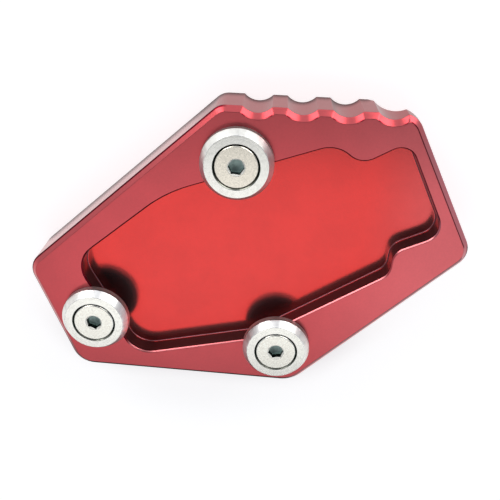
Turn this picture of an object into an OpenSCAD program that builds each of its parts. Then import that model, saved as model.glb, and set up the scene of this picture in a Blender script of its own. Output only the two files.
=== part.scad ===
// Kickstand foot enlarger: a machined plate bolted under a motorbike's stand foot.
// Three countersunk clamp washers and their screws hold the foot down in the pocket.
// The origin is the middle of the ground face, +Z is up and the scalloped edge faces +Y.
// A side of an outline has a way that it faces in degrees, its distance out from the origin,
// and the radius of the corner where it meets the next side, going round anticlockwise.

/* [Plate] */
// Thickness of the plate
plate_h = 16; // [14:0.5:20]
// Bevel round the upper edge of the plate
rim_bevel = 1.5; // [0.5:0.1:2.5]
// Bevel round the lower edge of the plate
ground_bevel = 0.8; // [0.3:0.1:1.5]
// Height and width of the large bevel under the outboard side
outboard_bevel = 11; // [6:0.5:12]

/* [Plate outline] */
// Way the outboard side faces
outboard_way = 28; // [22:0.5:34]
// Distance of the outboard side
outboard_out = 59.2; // [57.5:0.1:68]
// Corner between the outboard and the scalloped side
outboard_corner = 6; // [3:0.5:10]
// Way the scalloped side faces
scalloped_way = 90; // [88:0.5:94]
// Distance of the scalloped side
scalloped_out = 43.7; // [42:0.1:50]
// Corner between the scalloped and the slanted side
scalloped_corner = 5; // [3:0.5:10]
// Way the long slanted side faces
slant_way = 132.2; // [128:0.1:136]
// Distance of the slanted side
slant_out = 38.1; // [36:0.1:44]
// Corner between the slanted and the inboard side
slant_corner = 6; // [3:0.5:10]
// Way the inboard side faces
inboard_way = 201; // [196:0.5:206]
// Distance of the inboard side
inboard_out = 63; // [60:0.1:72]
// Corner between the inboard side and the back
inboard_corner = 7; // [3:0.5:12]
// Way the back faces, opposite the scallops
back_way = 268.1; // [264:0.1:272]
// Distance of the back
back_out = 43.3; // [41:0.1:50]
// Corner between the back and the quarter side
back_corner = 9; // [3:0.5:14]
// Way the quarter side faces, between the back and the outboard side
quarter_way = 314.5; // [310:0.5:320]
// Distance of the quarter side
quarter_out = 42.7; // [40:0.1:49]
// Corner between the quarter and the outboard side
quarter_corner = 6; // [3:0.5:10]

/* [Scallops] */
// Number of scallops
scallops = 4; // [2:1:4]
// Radius of each scallop
scallop_r = 5.5; // [4.5:0.1:5.8]
// Depth of each scallop
scallop_depth = 1.75; // [1:0.05:2.5]
// Distance between neighbouring scallops
scallop_pitch = 12; // [11.5:0.1:12.5]
// Place of the first scallop along the side
scallop_start = 1.7; // [0.5:0.1:3]

/* [Foot pocket] */
// Depth of the pocket that takes the stand foot
pocket_depth = 6; // [4:0.5:8]
// Bevel round the pocket's mouth
pocket_bevel = 0.4; // [0.2:0.05:0.8]
// Radius where the pocket's wall meets its floor
pocket_fillet = 0.35; // [0.2:0.05:1]
// Wall of metal left round each tapped hole where the pocket comes near it
land_wall = 1.5; // [1:0.1:3]

/* [Pocket outline] */
// Way the pocket wall along the outboard side faces
wall_outboard_way = 27; // [24:0.5:31]
// Distance of the pocket wall along the outboard side
wall_outboard_out = 54.4; // [51:0.1:56]
// Corner at the outboard bump
wall_outboard_corner = 4.4; // [2:0.1:5]
// Way the wall that rises to the outboard bump faces
wall_rise_way = 120.5; // [117:0.5:124]
// Distance of the wall that rises to the outboard bump
wall_rise_out = 9.8; // [8:0.1:11]
// Inside corner between the two bumps
wall_rise_corner = 6; // [3:0.5:9]
// Way the wall that falls from the long wall's bump faces
wall_fall_way = 52.6; // [50:0.2:56]
// Distance of the wall that falls from the long wall's bump
wall_fall_out = 41.7; // [40:0.1:43]
// Corner at the long wall's bump
wall_fall_corner = 8; // [4:0.5:11]
// Way the long wall behind the scallops faces
wall_long_way = 109.6; // [107:0.2:112]
// Distance of the long wall behind the scallops
wall_long_out = 24.8; // [23:0.1:26]
// Broad corner between the long wall and the slanted wall
wall_long_corner = 40; // [20:1:50]
// Way the wall along the slanted side faces
wall_slant_way = 130; // [127:0.5:133]
// Distance of the wall along the slanted side
wall_slant_out = 28.6; // [26:0.1:31]
// Corner at the pocket's inboard end
wall_slant_corner = 8; // [4:0.5:12]
// Way the wall along the inboard side faces
wall_inboard_way = 208.3; // [204:0.1:212]
// Distance of the wall along the inboard side
wall_inboard_out = 46.4; // [44:0.1:50]
// Corner beside the second washer
wall_inboard_corner = 8; // [4:0.5:10]
// Way the wall along the back faces
wall_back_way = 282.6; // [279:0.1:286]
// Distance of the wall along the back
wall_back_out = 28.3; // [26:0.1:31]
// Broad corner beside the third washer
wall_back_corner = 20; // [10:0.5:25]
// Way the wall along the quarter side faces
wall_quarter_way = 303.1; // [300:0.1:306]
// Distance of the wall along the quarter side
wall_quarter_out = 25.85; // [24:0.05:28]
// Corner before the step
wall_quarter_corner = 5; // [2:0.5:7]
// Way the short wall of the step faces
wall_step_way = 357; // [352:0.5:364]
// Distance of the short wall of the step
wall_step_out = 42.2; // [41:0.1:44]
// Inside corner of the step
wall_step_corner = 5; // [2:0.5:6]
// Way the wall from the step to the outboard side faces
wall_ledge_way = 295.3; // [292:0.1:298]
// Distance of the wall from the step to the outboard side
wall_ledge_out = 14.65; // [13.5:0.05:16]
// Corner between that wall and the outboard wall
wall_ledge_corner = 5; // [2:0.5:7]

/* [Clamp washers] */
// Diameter of a clamp washer
washer_d = 20.3; // [18:0.1:22]
// Thickness of a clamp washer
washer_h = 4.5; // [4.2:0.1:8]
// Height of the bevel at the top of a washer
washer_bevel_h = 2.2; // [1:0.1:3]
// Width of the bevel at the top of a washer
washer_bevel_w = 1.4; // [0.8:0.1:1.8]
// Bevel at the foot of a washer
washer_foot_bevel = 0.3; // [0.1:0.1:0.5]
// Distance of the first washer's centre from the scalloped side
seat_top_down = 15.2; // [14:0.1:17]
// Distance of the first washer's centre from the slanted side
seat_top_in = 14.9; // [13:0.1:17]
// Distance of the second washer's centre from the inboard side
seat_left_in = 13.2; // [12.5:0.1:16]
// Distance of the second washer's centre from the back
seat_left_up = 18.9; // [17:0.1:22]
// Distance of the third washer's centre from the back
seat_right_up = 14; // [13:0.1:17]
// Distance of the third washer's centre from the quarter side
seat_right_in = 14.1; // [13:0.1:17]

/* [Screws] */
// Thread diameter of a screw
screw_d = 6; // [5.5:0.1:6.5]
// Length of a screw, head included
screw_len = 16; // [12:1:18]
// Diameter of the screw head
head_d = 12; // [11.5:0.1:12.5]
// Height of the straight rim of the head, its bevel included
head_rim = 0.4; // [0.3:0.05:0.6]
// Bevel round the top of the head
head_bevel = 0.25; // [0.1:0.05:0.3]
// Size of the hexagon socket across its flats
hex_af = 4; // [3.5:0.1:4.5]
// Depth of the hexagon socket
hex_depth = 2.4; // [1.5:0.1:2.8]
// Bevel at the mouth of the hexagon socket, measured beyond its corners
hex_bevel = 0.2; // [0.1:0.05:0.5]
// Angle of the drilled point below the hexagon socket
drill_angle = 118; // [90:2:140]
// Ledge left between the hexagon's flats and the drilled point
drill_ledge = 0.15; // [0.1:0.05:0.5]
// Bevel at the tip of a screw
tip_bevel = 0.8; // [0.4:0.1:1.2]
// Turn of the hexagon in each screw: first, second and third
hex_turn = [-4, -20, 10]; // [-30:1:30]

/* [Clearances] */
// Radial gap between a screw head and its countersink
cone_gap = 0.1; // [0.05:0.05:0.2]
// Radial gap between a screw and the washer's bore
bore_gap = 0.3; // [0.2:0.05:0.5]
// Radial gap between a screw and the tapped hole, in place of the thread
thread_gap = 0.05; // [0.03:0.01:0.1]
// Bevel at both ends of a tapped hole
tap_bevel = 0.6; // [0.3:0.1:1]

/* [Hidden] */
eps = 1;              // how far a cutter runs past the face that it cuts
overlap = 0.2;        // how far a cutter starts inside a space already cut
corner_steps = 8;     // chords in each rounded corner
fillet_steps = 4;     // chords in the fillet of the pocket's floor
full_turn = 360;
right_angle = 90;
side_outboard = [outboard_way, outboard_out, outboard_corner];
side_scalloped = [scalloped_way, scalloped_out, scalloped_corner];
side_slant = [slant_way, slant_out, slant_corner];
side_inboard = [inboard_way, inboard_out, inboard_corner];
side_back = [back_way, back_out, back_corner];
side_quarter = [quarter_way, quarter_out, quarter_corner];
plate_sides = [side_outboard, side_scalloped, side_slant, side_inboard, side_back, side_quarter];
pocket_sides = [[wall_outboard_way, wall_outboard_out, wall_outboard_corner],
                [wall_rise_way, wall_rise_out, wall_rise_corner],
                [wall_fall_way, wall_fall_out, wall_fall_corner],
                [wall_long_way, wall_long_out, wall_long_corner],
                [wall_slant_way, wall_slant_out, wall_slant_corner],
                [wall_inboard_way, wall_inboard_out, wall_inboard_corner],
                [wall_back_way, wall_back_out, wall_back_corner],
                [wall_quarter_way, wall_quarter_out, wall_quarter_corner],
                [wall_step_way, wall_step_out, wall_step_corner],
                [wall_ledge_way, wall_ledge_out, wall_ledge_corner]];
pocket_z = plate_h - pocket_depth;
top_z = plate_h + washer_h;
head_cone = (head_d - screw_d)/2;
mouth_r = head_d/2 + head_rim + cone_gap;
bore_r = screw_d/2 + bore_gap;
tap_r = screw_d/2 + thread_gap;
hex_flat_r = hex_af/2;
hex_corner_r = hex_flat_r/cos(full_turn/12);
$fn = 96;

// Unit vector in a direction
function heading(angle) = [cos(angle), sin(angle)];

// Point that lies in_a inside side a and in_b inside side b
function meet(a, b, in_a, in_b) =
    let (u = heading(a[0]), v = heading(b[0]), p = a[1] - in_a, q = b[1] - in_b,
         cross = u[0]*v[1] - u[1]*v[0])
    [(p*v[1] - q*u[1])/cross, (u[0]*q - v[0]*p)/cross];

// The side after side i, its direction counted on past the last one
function after(sides, i) =
    i + 1 < len(sides) ? sides[i + 1] : sides[0] + [full_turn, 0, 0];

// Arc that joins side a to side b, both moved inward by inset; a corner that turns
// the other way is rounded from outside
function corner(a, b, inset) =
    let (r = b[0] > a[0] ? a[2] : -a[2], centre = meet(a, b, r, r))
    [for (i = [0:corner_steps])
        centre + (r - inset)*heading(a[0] + (b[0] - a[0])*i/corner_steps)];

// Whole outline, moved inward by inset
function outline(sides, inset) =
    [for (i = [0:len(sides) - 1]) each corner(sides[i], after(sides, i), inset)];

// Solid through a pile of [inset, height] levels of one outline, lowest first
module pile(sides, levels) {
    rings = [for (level = levels) outline(sides, level[0])];
    n = len(rings[0]);
    last = len(levels) - 1;
    points = [for (i = [0:last]) for (p = rings[i]) [p[0], p[1], levels[i][1]]];
    wall = [for (i = [0:last - 1]) for (j = [0:n - 1])
        [i*n + j, (i + 1)*n + j, (i + 1)*n + (j + 1)%n, i*n + (j + 1)%n]];
    floor = [for (j = [0:n - 1]) j];
    roof = [for (j = [n - 1:-1:0]) last*n + j];
    polyhedron(points, concat([floor], wall, [roof]), convexity = 6);
}

// Centres of the three washers
seat_top = meet(side_scalloped, side_slant, seat_top_down, seat_top_in);
seat_left = meet(side_inboard, side_back, seat_left_in, seat_left_up);
seat_right = meet(side_back, side_quarter, seat_right_up, seat_right_in);
seats = [seat_top, seat_left, seat_right];

// Plate without its cuts, bevelled round both edges
module blank() {
    pile(plate_sides, [[ground_bevel, 0], [0, ground_bevel],
                       [0, plate_h - rim_bevel], [rim_bevel, plate_h]]);
}

// Cut of one scallop, with the plate's two bevels carried round it
module scallop() {
    translate([0, 0, -eps])
        cylinder(h = plate_h + 2*eps, r = scallop_r);
    translate([0, 0, plate_h - rim_bevel])
        cylinder(h = rim_bevel + eps, r1 = scallop_r, r2 = scallop_r + rim_bevel + eps);
    translate([0, 0, -eps])
        cylinder(h = ground_bevel + eps, r1 = scallop_r + ground_bevel + eps, r2 = scallop_r);
}

// Row of scallops along the scalloped side, laid out with X pointing out of that side
module scallop_row() {
    centre_out = scalloped_out - scallop_depth + scallop_r;
    rotate([0, 0, scalloped_way])
        for (i = [0:scallops - 1])
            translate([centre_out, -scallop_start - i*scallop_pitch, 0])
                scallop();
}

// Pocket in the stand foot's shape: filleted floor, straight wall, bevelled mouth
module pocket() {
    fillet = [for (i = [0:fillet_steps])
        let (t = right_angle*i/fillet_steps)
        [pocket_fillet*(1 - sin(t)), pocket_z + pocket_fillet*(1 - cos(t))]];
    difference() {
        pile(pocket_sides, concat(fillet, [[0, plate_h - pocket_bevel],
                                           [-pocket_bevel, plate_h],
                                           [-pocket_bevel, plate_h + eps]]));
        for (seat = seats)
            translate([seat[0], seat[1], 0])
                cylinder(h = plate_h + 2*eps, r = tap_r + land_wall);
    }
}

// Tapped hole through the plate, bevelled at both ends
module tapped_hole() {
    translate([0, 0, -eps])
        cylinder(h = plate_h + 2*eps, r = tap_r);
    translate([0, 0, plate_h - tap_bevel])
        cylinder(h = tap_bevel + eps, r1 = tap_r, r2 = tap_r + tap_bevel + eps);
    translate([0, 0, -eps])
        cylinder(h = tap_bevel + eps, r1 = tap_r + tap_bevel + eps, r2 = tap_r);
}

// Wedge that cuts the large bevel under the outboard side
module outboard_wedge() {
    rotate([0, 0, outboard_way])
        rotate([right_angle, 0, 0])
            linear_extrude(height = 4*outboard_out, center = true)
                polygon([[outboard_out - outboard_bevel - eps, -eps],
                         [outboard_out + eps, -eps],
                         [outboard_out + eps, outboard_bevel + eps]]);
}

// Machined base plate
module base_plate() {
    color([0.72, 0.13, 0.15])
        difference() {
            blank();
            scallop_row();
            pocket();
            outboard_wedge();
            for (seat = seats)
                translate([seat[0], seat[1], 0])
                    tapped_hole();
        }
}

// Turned clamp washer with a countersink, lying on the rim of the plate at a seat
module clamp_washer(seat) {
    r = washer_d/2;
    color([0.88, 0.88, 0.87])
        translate([seat[0], seat[1], plate_h])
            rotate_extrude()
                polygon([[bore_r, 0], [r - washer_foot_bevel, 0], [r, washer_foot_bevel],
                         [r, washer_h - washer_bevel_h], [r - washer_bevel_w, washer_h],
                         [mouth_r, washer_h], [bore_r, washer_h - (mouth_r - bore_r)]]);
}

module clamp_washer_top() { clamp_washer(seat_top); }
module clamp_washer_left() { clamp_washer(seat_left); }
module clamp_washer_right() { clamp_washer(seat_right); }

// Hexagon socket below z = 0, on its drilled point and with a bevelled mouth
module hex_socket() {
    mouth_h = hex_corner_r + hex_bevel - hex_flat_r;
    drill_r = hex_flat_r - drill_ledge;
    point_h = drill_r/tan(drill_angle/2);
    translate([0, 0, -hex_depth])
        cylinder(h = hex_depth + eps, r = hex_corner_r, $fn = 6);
    translate([0, 0, -hex_depth - point_h])
        cylinder(h = point_h, r1 = 0, r2 = drill_r);
    translate([0, 0, -mouth_h - overlap])
        cylinder(h = mouth_h + overlap + eps, r1 = hex_flat_r - overlap,
                 r2 = hex_flat_r + mouth_h + eps);
}

// Countersunk screw with a hexagon socket, hanging below its flat head
module countersunk_screw() {
    difference() {
        rotate_extrude()
            polygon([[0, 0], [head_d/2 - head_bevel, 0], [head_d/2, -head_bevel],
                     [head_d/2, -head_rim], [screw_d/2, -head_rim - head_cone],
                     [screw_d/2, tip_bevel - screw_len],
                     [screw_d/2 - tip_bevel, -screw_len], [0, -screw_len]]);
        hex_socket();
    }
}

// The three screws, flush with the tops of their washers
module countersunk_screws() {
    color([0.80, 0.77, 0.71])
        for (i = [0:len(seats) - 1])
            translate([seats[i][0], seats[i][1], top_z])
                rotate([0, 0, hex_turn[i]])
                    countersunk_screw();
}

base_plate();
clamp_washer_top();
clamp_washer_left();
clamp_washer_right();
countersunk_screws();
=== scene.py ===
import bmesh
import bpy
import numpy as np
from mathutils import Matrix, Vector


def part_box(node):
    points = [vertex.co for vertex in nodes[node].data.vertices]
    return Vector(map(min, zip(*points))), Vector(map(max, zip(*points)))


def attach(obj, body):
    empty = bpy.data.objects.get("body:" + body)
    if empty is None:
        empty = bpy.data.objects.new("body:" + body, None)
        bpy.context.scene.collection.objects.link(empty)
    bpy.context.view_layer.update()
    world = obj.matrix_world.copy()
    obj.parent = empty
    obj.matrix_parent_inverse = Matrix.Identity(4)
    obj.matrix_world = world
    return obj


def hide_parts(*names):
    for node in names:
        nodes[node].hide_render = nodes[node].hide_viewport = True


mm = 0.001

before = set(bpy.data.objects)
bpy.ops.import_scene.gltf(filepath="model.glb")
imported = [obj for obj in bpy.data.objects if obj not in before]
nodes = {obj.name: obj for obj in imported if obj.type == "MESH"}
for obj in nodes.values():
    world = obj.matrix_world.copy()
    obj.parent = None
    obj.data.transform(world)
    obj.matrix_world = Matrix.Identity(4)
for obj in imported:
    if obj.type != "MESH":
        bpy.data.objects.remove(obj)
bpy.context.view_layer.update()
scene = bpy.context.scene
scene.view_settings.view_transform = "Standard"
print("frame loaded:", sorted(nodes))


# A socket of a material's tree, with Python's own arithmetic on it
class Wire:
    def __init__(self, tree, socket=None):
        self.tree, self.socket = tree, socket

    # adds any node: its kind, its settings (set first), its sockets by name or number
    def node(self, kind, settings=None, sockets=None, out=0):
        made = self.tree.nodes.new("ShaderNode" + kind)
        for name, value in (settings or {}).items():
            setattr(made, name, value)
        for name, value in (sockets or {}).items():
            self.feed(made.inputs[name], value)
        return Wire(self.tree, made.outputs[out] if made.outputs else None)

    def feed(self, socket, value):
        if isinstance(value, Wire):
            self.tree.links.new(value.socket, socket)
        else:
            socket.default_value = value

    def maths(self, operation, *values):
        return self.node("Math", {"operation": operation}, dict(enumerate(values)))

    def __add__(self, other):
        return self.maths("ADD", self, other)

    def __sub__(self, other):
        return self.maths("SUBTRACT", self, other)

    def __rsub__(self, other):
        return self.maths("SUBTRACT", other, self)

    def __mul__(self, other):
        return self.maths("MULTIPLY", self, other)

    __radd__ = __add__
    __rmul__ = __mul__

    def __truediv__(self, other):
        return self.maths("DIVIDE", self, other)

    def __pow__(self, other):
        return self.maths("POWER", self, other)

    def __abs__(self):
        return self.maths("ABSOLUTE", self)

    def root(self):
        return self.maths("SQRT", self)

    def largerOf(self, other):
        return self.maths("MAXIMUM", self, other)

    # 0 below low, 1 above high, an S curve between them
    def ramp(self, low, high):
        return self.node("MapRange", {"interpolation_type": "SMOOTHSTEP"},
                         {"Value": self, "From Min": low, "From Max": high})

    # colour a where the factor is 0, colour b where it is 1
    def blend(self, a, b):
        return self.node("Mix", {"data_type": "RGBA"}, {0: self, 6: a, 7: b}, out=2)


def newMaterial(name):
    material = bpy.data.materials.new(name)
    material.use_nodes = True
    material.node_tree.nodes.clear()
    return material, Wire(material.node_tree)


# The three parts of a vector
def partsOf(w, vector):
    split = w.node("SeparateXYZ", None, {"Vector": vector}).socket.node.outputs
    return [Wire(w.tree, split[axis]) for axis in "XYZ"]


# Object coordinates in metres, whole and along the length, across it and up
def placeOf(w):
    place = w.node("TexCoord", out=3)
    return place, *partsOf(w, place)


# The rays that should find white paper: those of the camera and of shiny surfaces
def raySwitches(w):
    path = w.node("LightPath").socket.node.outputs
    return Wire(w.tree, path["Is Camera Ray"]), Wire(w.tree, path["Is Glossy Ray"])


cameraSettings = {
    "place": (6.48 * mm, 89.61 * mm, 192.56 * mm),
    "aim": (1.39 * mm, 2.15 * mm, 16 * mm),
    "turn": 2.2,       # degrees that the picture is turned about the line of sight
    "lens": 49.22, "sensor": 36,
    "nearest": 0.01, "farthest": 20,
}


# Camera at a place, looking at the aim; its right side is (aim - place) x up, up being +Y turned
def addCamera(s):
    place, aim = Vector(s["place"]), Vector(s["aim"])
    forward = (aim - place).normalized()
    turn = np.radians(s["turn"])
    right = forward.cross(Vector((-np.sin(turn), np.cos(turn), 0))).normalized()
    up = right.cross(forward)
    data = bpy.data.cameras.new("camera")
    data.sensor_width, data.lens = s["sensor"], s["lens"]
    data.clip_start, data.clip_end = s["nearest"], s["farthest"]
    camera = bpy.data.objects.new("camera", data)
    camera.matrix_world = Matrix.Translation(place) @ Matrix((right, up, -forward)).transposed().to_4x4()
    scene.collection.objects.link(camera)
    scene.camera = camera


addCamera(cameraSettings)
print("camera placed")

# The paper that the part lies on. A pair of values says where an edge of a patch starts and ends.
paperSettings = {
    "size": 6.0, "drop": 0.05 * mm,
    "tone": 0.60,               # under the lamps
    "white": 0.72,              # what the camera finds besides
    "allWhite": (0.3, 1.5),     # the lamps fall off there, so the paper gives its own white
    "shade": 0.75, "shadeReach": 16 * mm,       # on the side away from the windows
    "shadeToY": (-45 * mm, -25 * mm),
    "contact": 1.5 * mm, "contactPower": 3.0,       # reach of the dark line where the part meets the paper
    "shine": 0.92,              # what shiny surfaces find on the paper round the part
    "dim": 0.60, "dimFromX": (-35 * mm, -5 * mm),       # close in front of the scallops
    "dimFromY": (34 * mm, 40 * mm), "dimToY": (50 * mm, 80 * mm),
    "far": 0.62, "farFromX": (110 * mm, 220 * mm),      # a hand's width off the outboard end
    "near": 0.06, "nearFromX": (-90 * mm, -75 * mm),    # away from the windows, in the part's own shade
    "nearToX": (15 * mm, 30 * mm), "nearToY": (-60 * mm, -48 * mm),
}


def addPaper(s):
    half, level = s["size"] / 2, -s["drop"]
    corners = [(x, y, level) for x, y in ((-half, -half), (half, -half), (half, half), (-half, half))]
    mesh = bpy.data.meshes.new("floor")
    mesh.from_pydata(corners, [], [(0, 1, 2, 3)])
    floor = bpy.data.objects.new("floor", mesh)
    scene.collection.objects.link(floor)
    paper, w = newMaterial("paper")
    isCamera, isGlossy = raySwitches(w)
    x, y = placeOf(w)[1:3]
    dim = x.ramp(*s["dimFromX"]) * y.ramp(*s["dimFromY"]) * (1 - y.ramp(*s["dimToY"]))
    far = x.ramp(*s["farFromX"])
    near = x.ramp(*s["nearFromX"]) * (1 - x.ramp(*s["nearToX"])) * (1 - y.ramp(*s["nearToY"]))
    shine = (s["shine"] + dim * (s["dim"] - s["shine"]) + far * (s["far"] - s["shine"])
             + near * (s["near"] - s["shine"]))
    touch = w.node("AmbientOcclusion", None, {"Distance": s["contact"]}, out=1)
    around = w.node("AmbientOcclusion", None, {"Distance": s["shadeReach"]}, out=1)
    shade = (1 - around) * (1 - y.ramp(*s["shadeToY"])) * s["shade"]
    away = (x * x + y * y).root().ramp(*s["allWhite"])
    white = s["white"] + away * (1 - s["white"]) - shade
    matt = w.node("BsdfDiffuse", None, {"Color": (s["tone"], s["tone"], s["tone"], 1)})
    seen = w.node("Emission", None, {"Color": (1, 1, 1, 1), "Strength": isCamera * white})
    shine = shine * touch ** s["contactPower"]
    mirrored = w.node("Emission", None, {"Color": (1, 1, 1, 1), "Strength": shine})
    plain = w.node("AddShader", None, {0: matt, 1: seen})
    surface = w.node("MixShader", None, {0: isGlossy, 1: plain, 2: mirrored})
    w.node("OutputMaterial", None, {"Surface": surface})
    mesh.materials.append(paper)


# A softbox lies so many degrees round from +X and so many up, as seen from the aim
lampsAim = (0, 0, 12 * mm)
softboxes = {
    "overheadBox": {"around": -88, "up": 63, "distance": 1.0, "width": 0.95, "depth": 0.40, "glow": 1.0},
    "rightWindow": {"around": 54, "up": 17, "distance": 1.0, "width": 0.74, "depth": 0.50, "glow": 3.0},
    "leftWindow": {"around": 126, "up": 17, "distance": 1.0, "width": 0.58, "depth": 0.50, "glow": 3.0},
}


# A rectangular lamp whose face glows with the given strength
def addSoftbox(name, s):
    around, height = np.radians(s["around"]), np.radians(s["up"])
    way = Vector((np.cos(height) * np.cos(around), np.cos(height) * np.sin(around), np.sin(height)))
    data = bpy.data.lights.new(name, "AREA")
    data.shape, data.size, data.size_y = "RECTANGLE", s["width"], s["depth"]
    data.energy = s["glow"] * np.pi * s["width"] * s["depth"]
    lamp = bpy.data.objects.new(name, data)
    lamp.location = Vector(lampsAim) + s["distance"] * way
    lamp.rotation_euler = (-way).to_track_quat("-Z", "Y").to_euler()
    lamp.visible_camera = False
    scene.collection.objects.link(lamp)


# The room's glow in each direction. A pair of values says where an edge of a patch starts and ends,
# from -1 to 1 along that axis.
skySettings = {
    "colour": (0.93, 0.97, 1.07, 1),
    "horizon": 0.55, "windowWall": 0.85, "windowWallY": (0.45, 0.8),    # low down, as shiny surfaces find it
    "zenith": 0.20, "zenithZ": (0.2, 0.7),
    "right": 0.90, "rightX": (0.3, 0.6), "rightY": (-0.15, 0.15), "rightZ": (0.55, 0.80),
    "left": 0.50, "leftX": (-0.65, -0.30), "leftFromZ": (0.3, 0.5), "leftToZ": (0.75, 0.9),
    "dark": 0.85, "darkY": (-0.25, 0.0), "darkZ": (0.45, 0.65),     # above and behind the camera
    "cap": 0.42, "capZ": (0.95, 0.99),      # straight above
}


def addSky(s):
    world = bpy.data.worlds.new("studio")
    scene.world = world
    world.use_nodes = True
    world.node_tree.nodes.clear()
    w = Wire(world.node_tree)
    isCamera = raySwitches(w)[0]
    x, y, z = partsOf(w, w.node("TexCoord"))    # the direction looked in
    low = s["horizon"] + y.ramp(*s["windowWallY"]) * (s["windowWall"] - s["horizon"])
    glow = low + z.ramp(*s["zenithZ"]) * (s["zenith"] - low)
    right = x.ramp(*s["rightX"]) * (1 - y.ramp(*s["rightY"])) * (1 - z.ramp(*s["rightZ"]))
    left = 1 - x.ramp(*s["leftX"])
    glow = glow + right * (s["right"] - glow)
    glow = glow + left * (1 - z.ramp(*s["leftToZ"])) * z.ramp(*s["leftFromZ"]) * (s["left"] - glow)
    glow = glow * (1 - z.ramp(*s["darkZ"]) * y.ramp(*s["darkY"]) * (1 - left) * s["dark"])
    glow = glow + z.ramp(*s["capZ"]) * (s["cap"] - glow)
    background = w.node("Background", None, {
        "Color": isCamera.blend(s["colour"], (1, 1, 1, 1)), "Strength": isCamera.largerOf(glow)})
    w.node("OutputWorld", None, {"Surface": background})


addPaper(paperSettings)
for name, box in softboxes.items():
    addSoftbox(name, box)
addSky(skySettings)
print("studio lit")


# The way a face points, each part from -1 to 1
def facingOf(w):
    return partsOf(w, w.node("NewGeometry", out=1))


# A colour made lighter or darker all alike
def shaded(w, colour, tone):
    grey = w.node("CombineColor", None, {"Red": tone, "Green": tone, "Blue": tone})
    return w.node("Mix", {"data_type": "RGBA", "blend_type": "MULTIPLY"}, {0: 1.0, 6: colour, 7: grey}, out=2)


# Value noise, about 0 to 1, on a vector; size is the length of one blotch
def grain(w, vector, size, detail=2.0):
    return w.node("TexNoise", {"noise_dimensions": "3D"}, {
        "Vector": vector, "Scale": 1 / size, "Detail": detail, "Roughness": 0.6})


def bumped(w, height, distance):
    return w.node("Bump", None, {"Height": height, "Distance": distance, "Strength": 1.0})


# The screws' axes, from the washers that they hold
seatNames = ("clamp_washer_top", "clamp_washer_left", "clamp_washer_right")
seats = [(Vector(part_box(name)[0]) + Vector(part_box(name)[1])) / 2 for name in seatNames]
plateTop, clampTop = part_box("base_plate")[1][2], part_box("clamp_washer_top")[1][2]
seatSplit = {"x": (-26 * mm, -25 * mm), "y": (0, 1 * mm)}     # lines that part the three from each other


# Place measured from the nearest screw's axis: x, y and distance
def fromScrew(w, x, y):
    top, left, right = seats
    offLeft = x.ramp(*seatSplit["x"])
    isLeft, isRight = 1 - offLeft, (1 - y.ramp(*seatSplit["y"])) * offLeft
    dx = x - top.x - isLeft * (left.x - top.x) - isRight * (right.x - top.x)
    dy = y - top.y - isLeft * (left.y - top.y) - isRight * (right.y - top.y)
    return dx, dy, (dx * dx + dy * dy).root()


# The plate's red anodising, on a blasted rim and a milled pocket. A pair of values says where a change
# starts and ends: a place, a height from an edge, or how far a face points that way, from -1 to 1.
redSettings = {
    "floorLevel": 10 * mm, "floorWithin": 0.005 * mm,
    "brokenEdge": 0.10 * mm, "edgeAngle": 40,
    # painted sheen: the red turns paler and greyer towards the outboard end, in place of the windows'
    # reflection there
    "rimColour": (0.65, 0.062, 0.072, 1), "rimPaintedSheen": (0.72, 0.115, 0.128, 1),
    "rimSheenFromX": (10 * mm, 62 * mm),
    "bevelColour": (0.66, 0.042, 0.052, 1), "bevelPaintedSheen": (0.56, 0.11, 0.14, 1),
    "bevelSheenFromX": (40 * mm, 50 * mm),
    "floorColour": (0.70, 0.032, 0.026, 1), "floorPaintedSheen": (0.60, 0.072, 0.072, 1),
    "floorSheenFromX": (32 * mm, 58 * mm),
    # the pocket's walls with painted shade on its end walls, the line round its floor, and its mouth with a
    # painted highlight
    "pocketWall": (0.48, 0.016, 0.022, 1), "endWallPaintedShade": (0.20, 0.010, 0.018, 1), "endWallShadeFace": (0.6, 0.9),
    "cutterLine": (0.22, 0.07, 0.09, 1), "cutterFace": (0.05, 0.2), "cutterFrom": (9.8 * mm, 10 * mm),
    "filletTop": (10.3 * mm, 10.8 * mm),
    "mouthColour": (1.0, 0.26, 0.27, 1), "mouthLow": (0.5, 0.6), "mouthHigh": (0.8, 0.9),
    "mouthFrom": (-0.1 * mm, 0), "mouthLit": (0.35, 0.5), "mouthShadeFace": (0.2, 0.35),
    "levelFace": (0.8, 0.95), "wallFace": (0.2, 0.5), "turnRound": (-2 * mm, 2 * mm),
    # painted shade: dark lines along the sharp edges, in place of dark reflections and shadows there
    "edgeShadeColour": (0.12, 0.004, 0.012, 1),
    "rimFoot": 1.5 * mm, "mouthFoot": 0.4 * mm,     # depths of the two bevels below the top
    "endAcross": (0.25, 0.35), "endAlong": (-0.35, -0.25), "endRaise": 0.5 * mm,
    "nearAlong": (-0.5, -0.35), "nearAcross": (0.2, 0.3), "nearRaise": 1.0 * mm,
    "scallopedX": (-8 * mm, -6 * mm), "scallopedAlong": (0.15, 0.25), "scallopSides": (0.2, 0.35),
    "topLine": (-0.30 * mm, -0.18 * mm), "topFace": (0.93, 0.99), "topAway": (-0.3, -0.1),
    "footLineLow": (-0.4 * mm, -0.25 * mm), "footLineHigh": (0.28 * mm, 0.48 * mm),
    "groundLine": (0.9 * mm, 1.3 * mm), "groundTone": 0.6,
    "mouthLine": (-0.4 * mm, -0.2 * mm),
    # surface
    "rimRoughness": 0.28, "floorRoughness": 0.17, "wallRoughness": 0.12,
    "film": 1.0, "filmRoughness": 0.48, "filmIndex": 1.66,
    "blastSize": 0.45 * mm, "blastDepth": 0.0035 * mm,
    "speckSize": 0.7 * mm, "speckTone": 0.05, "cloudSize": 12 * mm, "cloudTone": 0.07,
    "toneRange": (0.3, 0.7), "octaves": 3.0,
    "millPitch": 0.9 * mm, "millDepth": 0.0012 * mm, "millWander": 1.5,
}


waveScale = 0.314       # the scale at which a wave texture has one ring in a metre
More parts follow.
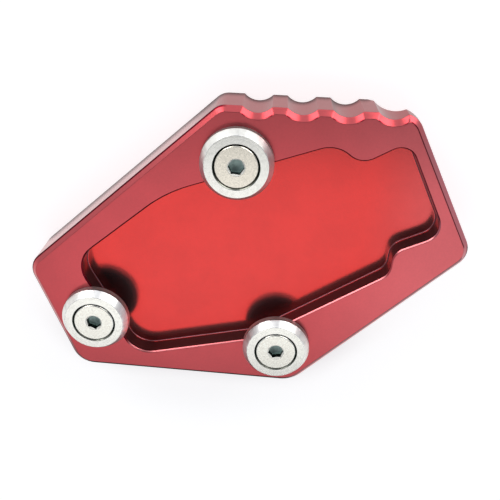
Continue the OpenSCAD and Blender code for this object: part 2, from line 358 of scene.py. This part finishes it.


# How far each place of the plate belongs to the painted shade lines along its edges
def darkEdges(s, x, z, facing, outward, wall):
    across, along, up = facing
    sideways, fromTop = abs(across), z - plateTop
    fromFoot = fromTop + s["rimFoot"]
    endSlope = across.ramp(*s["endAcross"]) * (1 - along.ramp(*s["endAlong"]))      # towards the outboard end
    nearSide = (1 - along.ramp(*s["nearAlong"])) * (1 - sideways.ramp(*s["nearAcross"]))
    scalloped = outward * x.ramp(*s["scallopedX"]) * along.ramp(*s["scallopedAlong"])
    sides = (scalloped * sideways.ramp(*s["scallopSides"])).largerOf(1 - along.ramp(*s["topAway"]))
    topLine = (fromTop + endSlope * outward * s["endRaise"]).ramp(*s["topLine"])
    topLine = topLine * (1 - up.ramp(*s["topFace"])) * sides
    footLine = (outward * (1 - scalloped) * (1 - endSlope) * fromFoot.ramp(*s["footLineLow"])
                * (1 - (fromFoot - nearSide * s["nearRaise"]).ramp(*s["footLineHigh"])))
    mouthLine = (1 - outward) * wall * (fromTop + s["mouthFoot"]).ramp(*s["mouthLine"])
    groundLine = wall * outward * (1 - z.ramp(*s["groundLine"])) * s["groundTone"]
    return topLine.largerOf(footLine).largerOf(mouthLine).largerOf(groundLine)


def redAnodising(s):
    material, w = newMaterial("redAnodising")
    place, x, y, z = placeOf(w)
    facing = across, along, up = facingOf(w)
    level = up.ramp(*s["levelFace"])
    wall = 1 - abs(up).ramp(*s["wallFace"])
    deep = 1 - z.ramp(*s["filletTop"])
    onFloor = deep * level
    outward = (x * across + y * along).ramp(*s["turnRound"])    # 0 on the pocket's walls
    inward = 1 - outward
    # painted sheen: the bevel and rim colours turn paler towards the outboard end
    bevelColour = x.ramp(*s["bevelSheenFromX"]).blend(s["bevelColour"], s["bevelPaintedSheen"])
    colour = level.blend(bevelColour, x.ramp(*s["rimSheenFromX"]).blend(s["rimColour"], s["rimPaintedSheen"]))
    # painted shade: the end walls, facing along the part, are painted much darker than the side walls
    shadedWallColour = abs(across).ramp(*s["endWallShadeFace"]).blend(s["pocketWall"], s["endWallPaintedShade"])
    colour = (inward * wall).blend(colour, shadedWallColour)
    # painted highlight: the pocket's mouth is painted bright pink on the side across from the windows;
    # painted shade: it takes the dark edge colour at its left end
    mouth = (inward * up.ramp(*s["mouthLow"]) * (1 - up.ramp(*s["mouthHigh"]))
             * (z - plateTop + s["mouthFoot"]).ramp(*s["mouthFrom"]))
    mouthLit = along.ramp(*s["mouthLit"])
    colour = (mouth * mouthLit).blend(colour, s["mouthColour"])
    edges = darkEdges(s, x, z, facing, outward, wall)
    edges = edges.largerOf(mouth * (1 - mouthLit) * across.ramp(*s["mouthShadeFace"]))
    # painted shade along the edges and at the mouth's left end
    colour = edges.blend(colour, s["edgeShadeColour"])
    cutterLine = deep * z.ramp(*s["cutterFrom"]) * up.ramp(*s["cutterFace"])
    colour = cutterLine.blend(colour, s["cutterLine"])
    # painted sheen: the floor colour turns paler towards the outboard end
    colour = onFloor.blend(colour, x.ramp(*s["floorSheenFromX"]).blend(s["floorColour"], s["floorPaintedSheen"]))
    cloud = grain(w, place, s["cloudSize"]).ramp(*s["toneRange"])
    speck = grain(w, place, s["speckSize"], s["octaves"]).ramp(*s["toneRange"])
    colour = shaded(w, colour, 1 + s["speckTone"] / 2 - cloud * s["cloudTone"] - speck * s["speckTone"])
    roughness = (s["rimRoughness"] + onFloor * (s["floorRoughness"] - s["rimRoughness"])
                 + wall * (s["wallRoughness"] - s["rimRoughness"]))
    blast = grain(w, place, s["blastSize"], s["octaves"])
    mill = w.node("TexWave", {"wave_type": "RINGS", "rings_direction": "Z"}, {
        "Vector": place, "Scale": waveScale / s["millPitch"], "Distortion": s["millWander"],
        "Detail": 1.0}, out=1)
    height = blast * (s["blastDepth"] / mm) + mill * onFloor * (s["millDepth"] / mm)
    surface = w.node("BsdfPrincipled", None, {
        "Base Color": colour, "Metallic": 1.0, "Roughness": roughness, "Normal": bumped(w, height, 1 * mm),
        "Coat Weight": s["film"] * (1 - edges), "Coat Roughness": s["filmRoughness"],
        "Coat IOR": s["filmIndex"]})
    w.node("OutputMaterial", None, {"Surface": surface})
    return material


# The washers: turned aluminium, marked by the tool in rings, with painted shade in the countersink,
# underneath and along the side
brightSettings = {
    "brokenEdge": 0.08 * mm, "edgeAngle": 30,
    "faceColour": (0.98, 0.965, 0.89, 1), "bevelColour": (0.98, 0.975, 0.93, 1),
    "faceRadius": 8.78 * mm, "faceFade": (-0.1 * mm, 0.1 * mm),         # the bevel starts here
    "sinkShade": (0.02, 0.03, 0.022, 1), "litSink": (0.35, 0.36, 0.30, 1), "litFace": (0.2, 0.6),
    "mouthRadius": 6.5 * mm, "mouthFade": (-0.06 * mm, 0.02 * mm),
    "underShade": (0.16, 0.15, 0.20, 1), "underFace": (-0.6, -0.3),
    "sideFace": (0.2, 0.4), "sideShade": 0.15,
    "bevelFoot": 2.2 * mm, "lineShade": 0.8,     # depth of the bevel's foot, and how dark the lines are
    "footLine": (-0.35 * mm, -0.15 * mm), "groundLine": (0.1 * mm, 0.4 * mm),
    "faceRoughness": 0.24, "bevelRoughness": 0.32, "sideRoughness": 0.42,
    "ringPitch": 0.3 * mm, "ringDepth": 0.003 * mm,
    "streakSize": 0.16, "streakTone": 0.16, "streakRange": (0.45, 0.75), "streakStretch": 60,
    "blotchSize": 1.1 * mm, "blotchTone": 0.10, "blotchRange": (0.4, 0.75), "octaves": 3.0,
}


def turnedAluminium(s):
    material, w = newMaterial("turnedAluminium")
    place, x, y, z = placeOf(w)
    dx, dy, r = fromScrew(w, x, y)
    along, up = facingOf(w)[1:]
    onBevel = (r - s["faceRadius"]).ramp(*s["faceFade"])
    inSink = 1 - (r - s["mouthRadius"]).ramp(*s["mouthFade"])
    below = 1 - up.ramp(*s["underFace"])
    side = onBevel * (1 - up.ramp(*s["sideFace"]))
    aroundRim = w.node("CombineXYZ", None, {"X": dx / r, "Y": dy / r, "Z": r * s["streakStretch"]})
    streak = grain(w, aroundRim, s["streakSize"], s["octaves"]).ramp(*s["streakRange"])
    blotch = grain(w, place, s["blotchSize"], s["octaves"]).ramp(*s["blotchRange"])
    colour = onBevel.blend(s["faceColour"], s["bevelColour"])
    colour = shaded(w, colour, 1 - streak * onBevel * s["streakTone"] - blotch * s["blotchTone"])
    # painted shade: the side is darker, with dark lines at the bevel's foot and where it meets the plate
    footLine = (z - clampTop + s["bevelFoot"]).ramp(*s["footLine"])
    groundLine = 1 - (z - plateTop).ramp(*s["groundLine"])
    colour = shaded(w, colour, 1 - side * (footLine + groundLine) * s["lineShade"] - side * s["sideShade"])
    # painted shade in the countersink, with painted light on its side that faces the windows
    colour = inSink.blend(colour, along.ramp(*s["litFace"]).blend(s["sinkShade"], s["litSink"]))
    # painted shade: the washer's underside is painted dark
    colour = below.blend(colour, s["underShade"])
    roughness = (s["faceRoughness"] + onBevel * (s["bevelRoughness"] - s["faceRoughness"])
                 + side * (s["sideRoughness"] - s["bevelRoughness"]))
    rings = w.node("TexNoise", {"noise_dimensions": "1D"}, {
        "W": r, "Scale": 1 / s["ringPitch"], "Detail": 1.0})
    surface = w.node("BsdfPrincipled", None, {
        "Base Color": colour, "Metallic": 1.0, "Roughness": roughness,
        "Normal": bumped(w, rings, s["ringDepth"])})
    w.node("OutputMaterial", None, {"Surface": surface})
    return material


# The screws: plain stainless, a little warm and matt, with painted shade in the hexagon and the top screw
# painted darker
screwSettings = {
    "brokenEdge": 0.05 * mm, "edgeAngle": 40,
    "topColour": (0.92, 0.86, 0.73, 1), "lowColour": (1.0, 0.97, 0.87, 1),
    "shadedWallColour": (0.015, 0.02, 0.018, 1), "wallFace": (0.3, 0.5), "wallFrom": (-0.35 * mm, -0.25 * mm),
    "socketColour": (0.80, 1.0, 0.93, 1), "socketFrom": (-2.1 * mm, -2.0 * mm), "socketMetal": 0.3,
    "mouthColour": (0.95, 0.93, 0.84, 1), "mouthFrom": (-1.0 * mm, -0.9 * mm), "mouthMetal": 0.2,
    "mouthLow": (0.4, 0.6), "mouthHigh": (0.8, 0.95),
    "socketRadius": (2.62 * mm, 2.72 * mm),
    "roughness": 0.25, "socketRoughness": 0.55,
    "pitSize": 0.45 * mm, "pitDepth": 0.004 * mm, "pitTone": 0.16, "pitRange": (0.3, 0.7), "pitLift": 0.4,
    "octaves": 4.0,
}


def stainless(s):
    material, w = newMaterial("stainless")
    place, x, y, z = placeOf(w)
    r = fromScrew(w, x, y)[2]
    up = facingOf(w)[2]
    fromTop = z - clampTop
    inSocket = 1 - r.ramp(*s["socketRadius"])
    bottom = inSocket * (1 - fromTop.ramp(*s["socketFrom"]))
    mouth = (inSocket * up.ramp(*s["mouthLow"]) * (1 - up.ramp(*s["mouthHigh"]))
             * fromTop.ramp(*s["mouthFrom"]))
    dark = (1 - fromTop.ramp(*s["wallFrom"])) * (1 - up.ramp(*s["wallFace"]))
    pits = grain(w, place, s["pitSize"], s["octaves"])
    # painted shade: the top screw's steel is painted darker and warmer than the lower two's
    colour = y.ramp(*seatSplit["y"]).blend(s["lowColour"], s["topColour"])
    colour = shaded(w, colour, 1 + s["pitLift"] * s["pitTone"] - pits.ramp(*s["pitRange"]) * s["pitTone"])
    # painted shade: the socket's walls and other steep faces below the top are painted near black
    colour = dark.blend(colour, s["shadedWallColour"])
    colour = bottom.blend(colour, s["socketColour"])
    colour = mouth.blend(colour, s["mouthColour"])
    metal = 1 - bottom * (1 - s["socketMetal"]) - mouth * (1 - s["mouthMetal"])
    roughness = s["roughness"] + bottom.largerOf(mouth) * (s["socketRoughness"] - s["roughness"])
    surface = w.node("BsdfPrincipled", None, {
        "Base Color": colour, "Metallic": metal, "Roughness": roughness,
        "Normal": bumped(w, pits, s["pitDepth"])})
    w.node("OutputMaterial", None, {"Surface": surface})
    return material


# For every piece: corners so close are one, faces within so many degrees are one face, and a broken
# edge has so many facets
meshSettings = {"merge": 0.0002 * mm, "flatWithin": 0.4, "segments": 3}


# A new piece on the part's one body
def addPiece(name, mesh):
    piece = bpy.data.objects.new(name, mesh)
    scene.collection.objects.link(piece)
    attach(piece, "root")
    return piece


# The plate again, with its pocket's floor filled as one face, because the loose triangles fold over
# themselves there and the bevel would follow the folds
def addPlate(name, s):
    shape = bmesh.new()
    shape.from_mesh(nodes["base_plate"].data)
    bmesh.ops.remove_doubles(shape, verts=shape.verts, dist=meshSettings["merge"])
    floor = [face for face in shape.faces
             if max(abs(v.co.z - s["floorLevel"]) for v in face.verts) < s["floorWithin"]]
    bmesh.ops.delete(shape, geom=floor, context="FACES_ONLY")
    bmesh.ops.delete(shape, geom=[edge for edge in shape.edges if edge.is_wire], context="EDGES")
    bmesh.ops.contextual_create(shape, geom=[edge for edge in shape.edges if edge.is_boundary])
    bmesh.ops.recalc_face_normals(shape, faces=shape.faces)
    mesh = bpy.data.meshes.new(name)
    shape.to_mesh(mesh)
    shape.free()
    piece = addPiece(name, mesh)
    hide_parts("base_plate")
    return piece


# Gives a piece its finish, smooth shading and broken edges
def dress(piece, material, s):
    piece.data.materials.clear()
    piece.data.materials.append(material)
    piece.data.polygons.foreach_set("use_smooth", np.ones(len(piece.data.polygons), bool))
    weld = piece.modifiers.new("weld", "WELD")
    weld.merge_threshold = meshSettings["merge"]
    flat = piece.modifiers.new("plainFaces", "DECIMATE")
    flat.decimate_type, flat.angle_limit = "DISSOLVE", np.radians(meshSettings["flatWithin"])
    bevel = piece.modifiers.new("brokenEdges", "BEVEL")
    bevel.width, bevel.segments = s["brokenEdge"], meshSettings["segments"]
    bevel.limit_method, bevel.angle_limit = "ANGLE", np.radians(s["edgeAngle"])
    bevel.use_clamp_overlap = False
    level = piece.modifiers.new("flatFaces", "WEIGHTED_NORMAL")
    level.keep_sharp = True


red = redAnodising(redSettings)
bright = turnedAluminium(brightSettings)
steel = stainless(screwSettings)
dress(addPlate("anodised_plate", redSettings), red, redSettings)
for name in seatNames:
    dress(nodes[name], bright, brightSettings)
dress(nodes["countersunk_screws"], steel, screwSettings)
print("finishes given")

# The ends of the tapped holes below the screws' tips, where the underside shows them
threadSettings = {
    "low": 0.8 * mm, "high": 4.3 * mm, "pitch": 1.0 * mm,
    "rootRadius": 3.07 * mm, "crestRadius": 2.68 * mm, "rootWidth": 0.80 * mm, "crestWidth": 0.20 * mm,
    "stepsPerTurn": 48, "taperTurns": 0.4, "leastTaper": 0.02,
}


# A ridge that climbs round each hole. At angle a and profile point (q, h) its place is
# radius = rootRadius + taper(a) q, height = low + pitch a / 2 pi + taper(a) h, and taper falls to
# the least at both ends
def addThreads(name, s, centres, material):
    turns = (s["high"] - s["low"]) / s["pitch"]
    a = np.linspace(0, 2 * np.pi * turns, int(turns * s["stepsPerTurn"]) + 1)[:, None]
    q = np.array([0, s["crestRadius"] - s["rootRadius"], s["crestRadius"] - s["rootRadius"], 0])
    h = np.array([-s["rootWidth"], -s["crestWidth"], s["crestWidth"], s["rootWidth"]]) / 2
    ends = np.minimum(a, a[-1] - a) / (2 * np.pi * s["taperTurns"])
    taper = s["leastTaper"] + (1 - s["leastTaper"]) * np.clip(ends, 0, 1)
    radius, height = s["rootRadius"] + taper * q, s["low"] + s["pitch"] * a / (2 * np.pi) + taper * h
    ridge = np.stack([radius * np.cos(a), radius * np.sin(a), height], -1).reshape(-1, 3)
    rows, sides = len(a), len(q)
    row, side = np.meshgrid(np.arange(rows - 1), np.arange(sides), indexing="ij")
    nextSide = (side + 1) % sides
    quads = np.stack([row * sides + side, row * sides + nextSide, (row + 1) * sides + nextSide,
                      (row + 1) * sides + side], -1).reshape(-1, 4)
    caps = np.array([np.arange(sides)[::-1], (rows - 1) * sides + np.arange(sides)])
    faces = np.concatenate([quads, caps])
    points = np.concatenate([ridge + [centre.x, centre.y, 0] for centre in centres])
    faces = np.concatenate([faces + len(ridge) * k for k in range(len(centres))])
    mesh = bpy.data.meshes.new(name)
    mesh.from_pydata(points.tolist(), [], faces.tolist())
    mesh.materials.append(material)
    addPiece(name, mesh)


addThreads("tapped_threads", threadSettings, seats, red)
print("threads cut")
